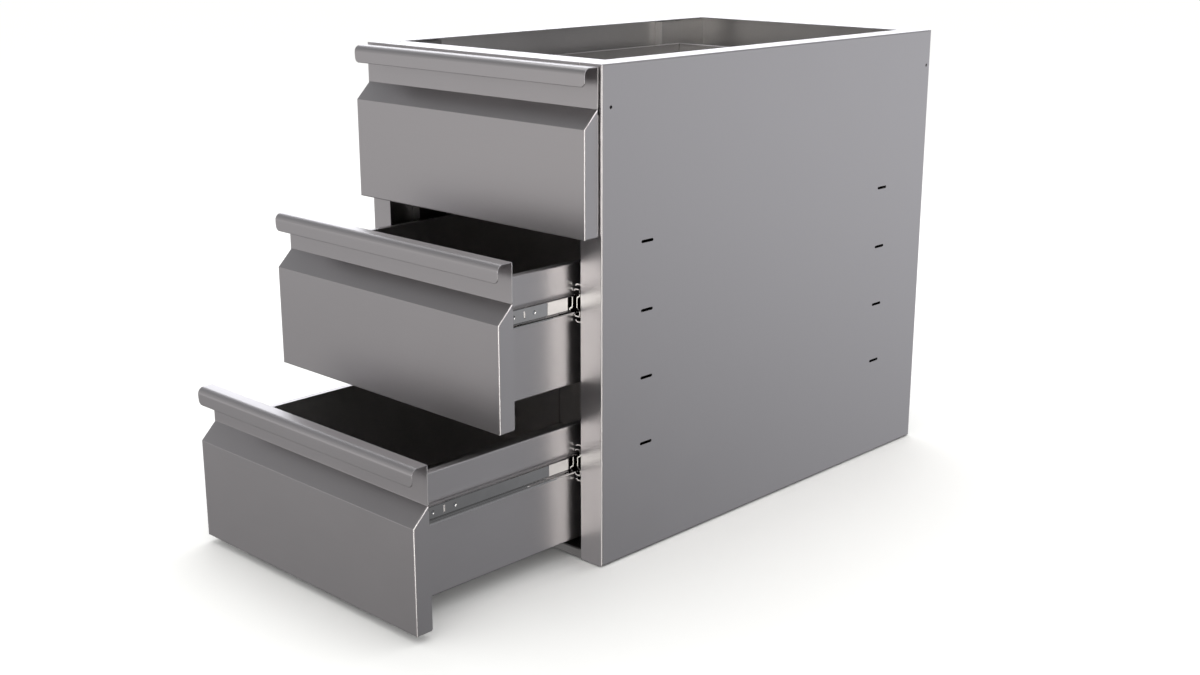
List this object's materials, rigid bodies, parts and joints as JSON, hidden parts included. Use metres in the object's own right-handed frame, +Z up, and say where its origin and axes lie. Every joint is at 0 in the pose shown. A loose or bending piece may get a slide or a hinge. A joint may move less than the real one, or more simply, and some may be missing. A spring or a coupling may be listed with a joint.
{
  "type": "under-desk drawer unit",
  "caption": "Stainless under-desk drawer unit: open-topped folded cabinet, ball-bearing slides and folded drawers with full-width grips",
  "frame": {"origin": "middle of the cabinet's underside, in the plane its bottom returns stand on", "axes": "+Z up, the drawers open towards -Y, +X to the right of someone facing the drawers"},
  "size_m": [0.4, 0.9115, 0.575],
  "materials": {
    "outer_sheet": "brushed stainless sheet",
    "drawer_sheet": "plain stainless sheet",
    "frame_sheet": "plain stainless sheet",
    "slide_steel": "bright zinc-plated strip",
    "cage_steel": "plain steel strip with steel balls",
    "fastener": "zinc-plated steel",
    "buffer": "black rubber"
  },
  "bodies": {
    "cabinet": {"back_panel": "outer_sheet", "bottom_panel": "outer_sheet", "bracket_bottom_left": "frame_sheet", "bracket_bottom_right": "frame_sheet", "bracket_middle_left": "frame_sheet", "bracket_middle_right": "frame_sheet", "bracket_top_left": "frame_sheet", "bracket_top_right": "frame_sheet", "front_rail": "outer_sheet", "post_front_left": "frame_sheet", "post_front_right": "frame_sheet", "post_rear_left": "frame_sheet", "post_rear_right": "frame_sheet", "side_panel_left": "outer_sheet", "side_panel_right": "outer_sheet", "slide_outer_bottom_left": "slide_steel", "slide_outer_bottom_right": "slide_steel", "slide_outer_middle_left": "slide_steel", "slide_outer_middle_right": "slide_steel", "slide_outer_top_left": "slide_steel", "slide_outer_top_right": "slide_steel", "slide_rivets": "fastener"},
    "members_top": {"slide_middle_top_left": "slide_steel", "slide_middle_top_right": "slide_steel"},
    "drawer_top": {"drawer_box_top": "drawer_sheet", "drawer_front_top": "outer_sheet", "drawer_fasteners_top": "fastener", "buffers_top": "buffer", "slide_inner_top_left": "slide_steel", "slide_inner_top_right": "slide_steel"},
    "outer_cages_top": {"cage_outer_top_left": "cage_steel", "cage_outer_top_right": "cage_steel"},
    "inner_cages_top": {"cage_inner_top_left": "cage_steel", "cage_inner_top_right": "cage_steel"},
    "members_middle": {"slide_middle_middle_left": "slide_steel", "slide_middle_middle_right": "slide_steel"},
    "drawer_middle": {"drawer_box_middle": "drawer_sheet", "drawer_front_middle": "outer_sheet", "drawer_fasteners_middle": "fastener", "buffers_middle": "buffer", "slide_inner_middle_left": "slide_steel", "slide_inner_middle_right": "slide_steel"},
    "outer_cages_middle": {"cage_outer_middle_left": "cage_steel", "cage_outer_middle_right": "cage_steel"},
    "inner_cages_middle": {"cage_inner_middle_left": "cage_steel", "cage_inner_middle_right": "cage_steel"},
    "members_bottom": {"slide_middle_bottom_left": "slide_steel", "slide_middle_bottom_right": "slide_steel"},
    "drawer_bottom": {"drawer_box_bottom": "drawer_sheet", "drawer_front_bottom": "outer_sheet", "drawer_fasteners_bottom": "fastener", "buffers_bottom": "buffer", "slide_inner_bottom_left": "slide_steel", "slide_inner_bottom_right": "slide_steel"},
    "outer_cages_bottom": {"cage_outer_bottom_left": "cage_steel", "cage_outer_bottom_right": "cage_steel"},
    "inner_cages_bottom": {"cage_inner_bottom_left": "cage_steel", "cage_inner_bottom_right": "cage_steel"}
  },
  "joints": [
    {"name": "extend_top", "type": "slide", "parent": "cabinet", "child": "members_top", "axis": [0, -1, 0], "range_m": [0, 0.25]},
    {"name": "draw_top", "type": "slide", "parent": "members_top", "child": "drawer_top", "axis": [0, -1, 0], "range_m": [0, 0.25]},
    {"name": "roll_outer_top", "type": "slide", "parent": "cabinet", "child": "outer_cages_top", "axis": [0, -1, 0], "range_m": [0, 0.125]},
    {"name": "roll_inner_top", "type": "slide", "parent": "members_top", "child": "inner_cages_top", "axis": [0, -1, 0], "range_m": [0, 0.125]},
    {"name": "extend_middle", "type": "slide", "parent": "cabinet", "child": "members_middle", "axis": [0, -1, 0], "range_m": [0, 0.25]},
    {"name": "draw_middle", "type": "slide", "parent": "members_middle", "child": "drawer_middle", "axis": [0, -1, 0], "range_m": [-0.128, 0.122]},
    {"name": "roll_outer_middle", "type": "slide", "parent": "cabinet", "child": "outer_cages_middle", "axis": [0, -1, 0], "range_m": [0, 0.125]},
    {"name": "roll_inner_middle", "type": "slide", "parent": "members_middle", "child": "inner_cages_middle", "axis": [0, -1, 0], "range_m": [-0.064, 0.061]},
    {"name": "extend_bottom", "type": "slide", "parent": "cabinet", "child": "members_bottom", "axis": [0, -1, 0], "range_m": [0, 0.25]},
    {"name": "draw_bottom", "type": "slide", "parent": "members_bottom", "child": "drawer_bottom", "axis": [0, -1, 0], "range_m": [-0.249, 0.001]},
    {"name": "roll_outer_bottom", "type": "slide", "parent": "cabinet", "child": "outer_cages_bottom", "axis": [0, -1, 0], "range_m": [0, 0.125]},
    {"name": "roll_inner_bottom", "type": "slide", "parent": "members_bottom", "child": "inner_cages_bottom", "axis": [0, -1, 0], "range_m": [-0.1245, 0.0005]}
  ],
  "couplings": [
    {"joint": "roll_outer_top", "follows": "extend_top", "ratio": 0.5},
    {"joint": "roll_inner_top", "follows": "draw_top", "ratio": 0.5},
    {"joint": "roll_outer_middle", "follows": "extend_middle", "ratio": 0.5},
    {"joint": "roll_inner_middle", "follows": "draw_middle", "ratio": 0.5},
    {"joint": "roll_outer_bottom", "follows": "extend_bottom", "ratio": 0.5},
    {"joint": "roll_inner_bottom", "follows": "draw_bottom", "ratio": 0.5}
  ]
}
